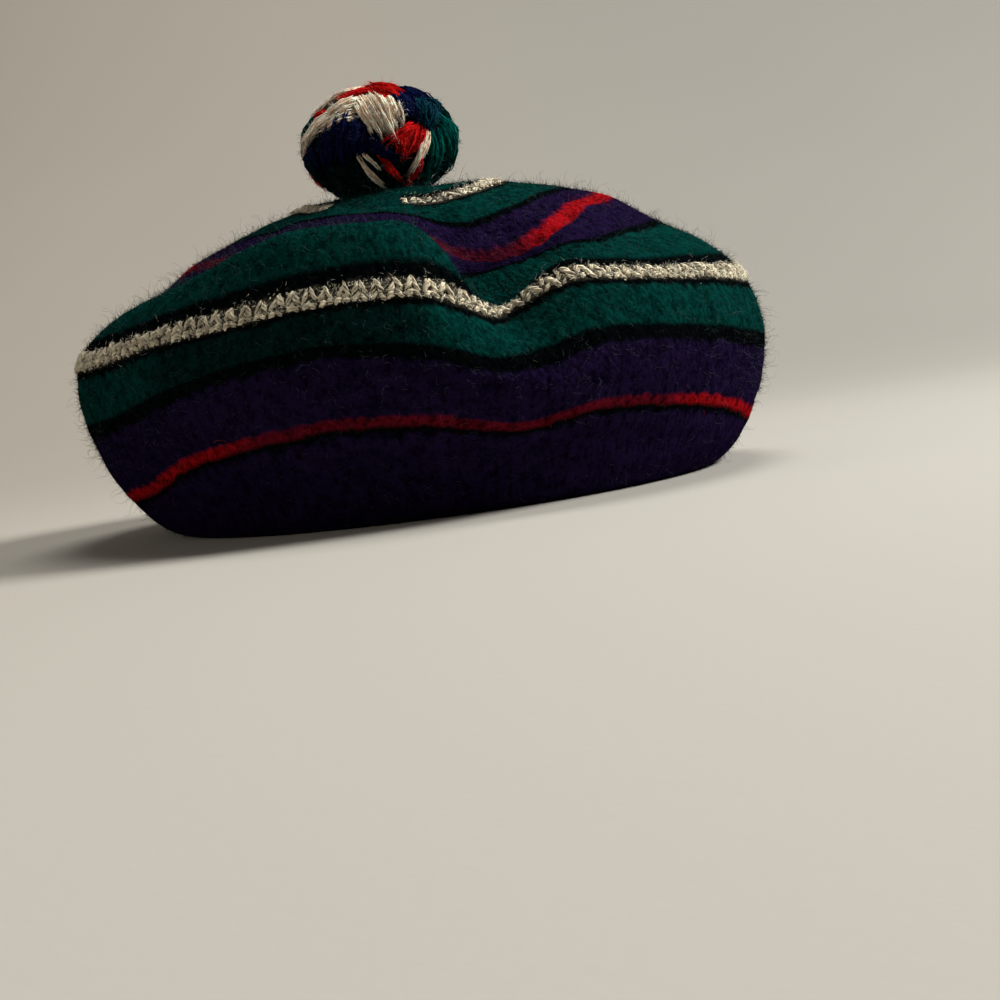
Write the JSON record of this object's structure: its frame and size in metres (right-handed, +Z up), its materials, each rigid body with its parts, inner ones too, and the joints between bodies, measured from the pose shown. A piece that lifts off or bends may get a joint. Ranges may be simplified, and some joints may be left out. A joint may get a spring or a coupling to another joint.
{
  "type": "tam o shanter",
  "caption": "Puffed knitted wool cap with a turned-up band inside its head opening, rings of coloured stripes and a yarn pompom tied on at the centre",
  "frame": {"origin": "middle of the hat's outline seen from above, on the surface that it rests on", "axes": "+Z up out of the crown, -Y towards the front with the deep dent, +X to the right seen from there"},
  "size_m": [0.2464, 0.2432, 0.1508],
  "materials": {
    "crown_wool": "matte, fulled and hairy",
    "pompom_yarn": "matte cut yarn",
    "tie_yarn": "matte yarn"
  },
  "bodies": {
    "root": {"crown": "crown_wool", "pompom": "pompom_yarn", "pompom_tie": "tie_yarn"}
  },
  "joints": []
}
